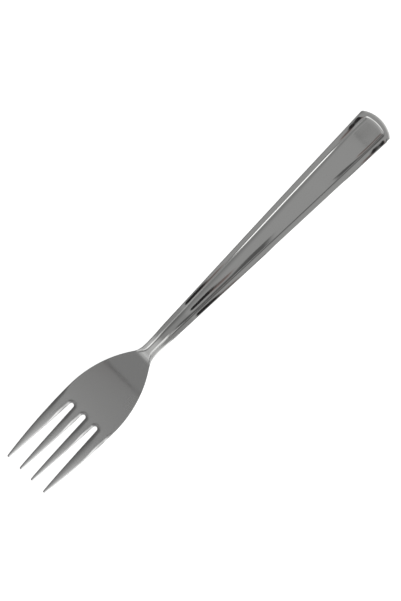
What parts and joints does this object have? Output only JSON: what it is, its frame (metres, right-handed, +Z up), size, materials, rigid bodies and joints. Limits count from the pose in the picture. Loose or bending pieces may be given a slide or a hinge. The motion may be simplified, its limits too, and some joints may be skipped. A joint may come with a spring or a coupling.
{
  "type": "dinner fork",
  "caption": "Stainless steel dinner fork with tapered tines on a dished head, a narrow neck, and a flared handle with a raised border around a sunken panel.",
  "frame": {"origin": "on the table, under the middle of the fork's length and width, as it lies with its tines up", "axes": "+X along the fork from the tine tips to the handle end, +Y to the left seen from the handle end towards the tines, +Z up from the table"},
  "size_m": [0.195, 0.0256, 0.013],
  "materials": {
    "stainless_steel": "polished stainless steel, bright on the handle and a little softer on the head"
  },
  "bodies": {
    "root": {"handle": "stainless_steel", "neck": "stainless_steel", "head": "stainless_steel", "outer_tine_left": "stainless_steel", "inner_tine_left": "stainless_steel", "inner_tine_right": "stainless_steel", "outer_tine_right": "stainless_steel"}
  },
  "joints": []
}
